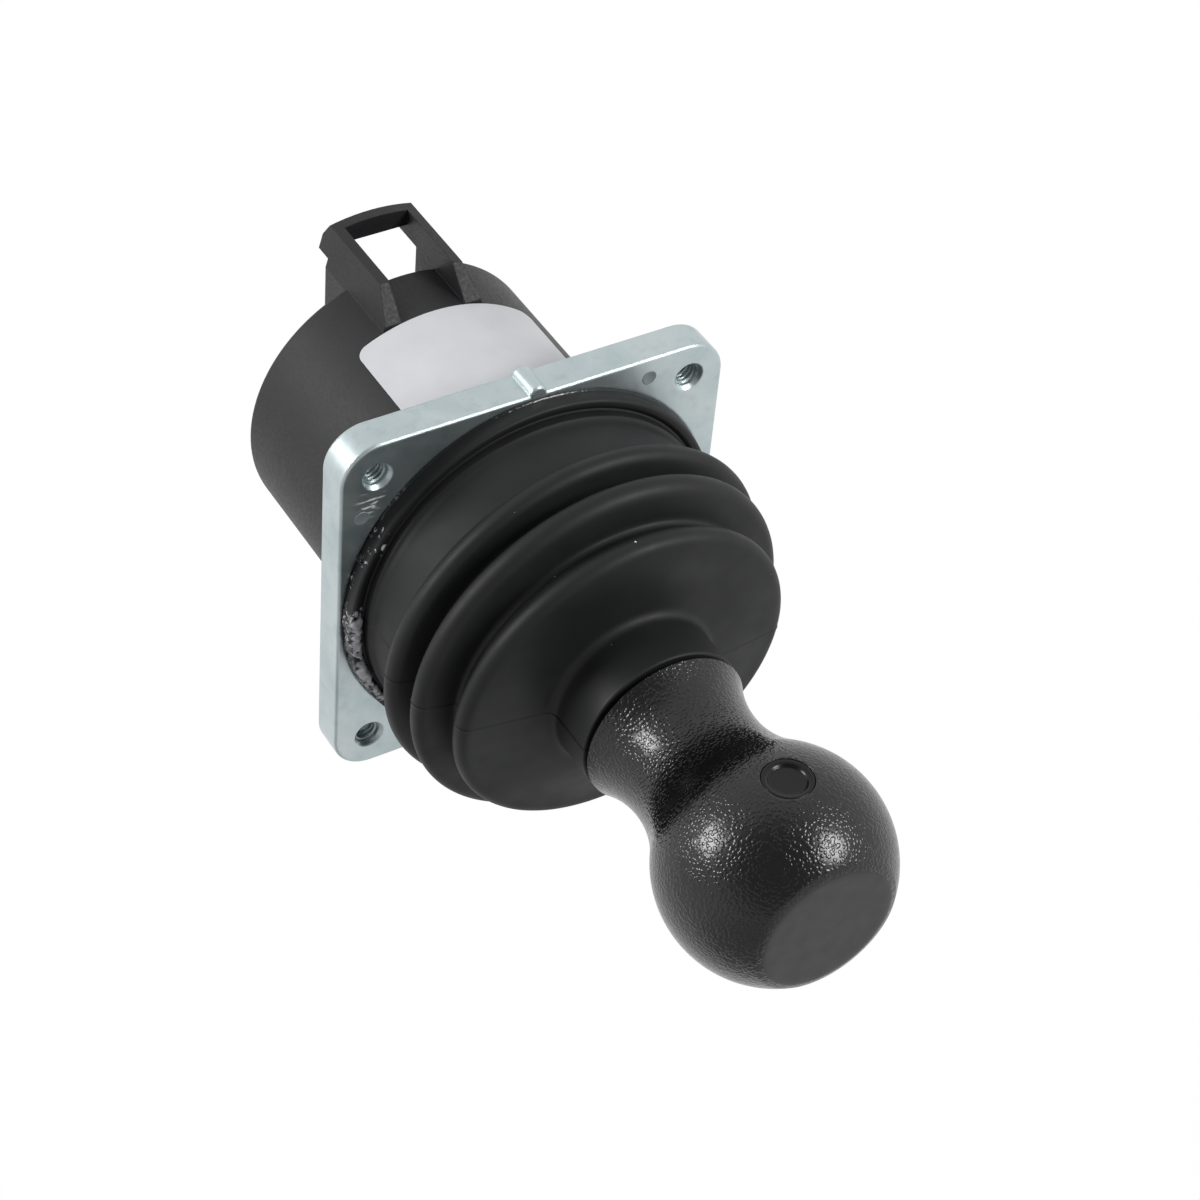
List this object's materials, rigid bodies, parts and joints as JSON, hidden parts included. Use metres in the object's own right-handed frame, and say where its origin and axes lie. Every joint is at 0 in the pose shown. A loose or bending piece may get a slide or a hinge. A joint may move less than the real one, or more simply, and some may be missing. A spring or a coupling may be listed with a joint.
{
  "type": "industrial joystick",
  "caption": "Two-axis spring-centred lever joystick with a square flange, rubber bellows, ball grip with a push-button and a round housing with a latching socket.",
  "frame": {"origin": "centre of the mounting plate's upper face, on the lever's rest axis", "axes": "+Z along the lever towards the grip, +Y towards the button, the locating key and the latch guard"},
  "size_m": [0.07, 0.0714, 0.1493],
  "materials": {
    "zinc": "satin bright zinc plate",
    "steel": "bright",
    "black_steel": "black oxide",
    "bronze": "satin",
    "housing": "fine matt texture",
    "board": "solder mask",
    "label": "matt film",
    "rubber": "matt",
    "grip": "fine leather grain",
    "leads": "matt"
  },
  "bodies": {
    "base": {"flange_plate": "zinc", "gate_plate": "steel", "pivot_carrier": "zinc", "carrier_screws": "black_steel", "carrier_bushes": "bronze", "housing_gasket": "rubber", "can_housing": "housing", "housing_screws": "black_steel", "circuit_board": "board", "board_screws": "steel", "hall_sensors": "housing", "contact_pins": "bronze", "blank_label": "label", "boot": "rubber", "boot_ring": "steel", "sealant_bead": "rubber", "board_leads": "leads", "gimbal_spring": "steel"},
    "gimbal": {"gimbal_ring": "zinc", "gimbal_pins": "steel", "gimbal_bushes": "bronze", "gimbal_crank": "steel", "lever_spring": "steel"},
    "lever": {"lever_shaft": "steel", "pivot_block": "zinc", "lever_pins": "steel", "lever_crank": "steel", "magnet_holder": "housing", "magnet": "steel", "shaft_leads": "leads", "grip": "grip", "grip_insert": "bronze", "grip_cap": "grip", "switch_body": "housing", "button_spring": "steel"},
    "push_button": {"button": "grip", "switch_plunger": "housing"}
  },
  "joints": [
    {"name": "tilt_x", "type": "hinge", "parent": "base", "child": "gimbal", "pos_m": [0, 0, -0.022], "axis": [1, 0, 0], "range_deg": [-20, 20], "stiffness_Nm_per_rad": 1.5, "deforming": ["boot", "board_leads", "gimbal_spring"]},
    {"name": "tilt_y", "type": "hinge", "parent": "gimbal", "child": "lever", "pos_m": [0, 0, -0.022], "axis": [0, 1, 0], "range_deg": [-20, 20], "stiffness_Nm_per_rad": 1.5, "deforming": ["lever_spring"]},
    {"name": "button_press", "type": "slide", "parent": "lever", "child": "push_button", "axis": [0, -1, 0], "range_m": [0, 0.001], "stiffness_N_per_m": 1500, "springref_m": -0.001, "deforming": ["button_spring"]}
  ]
}
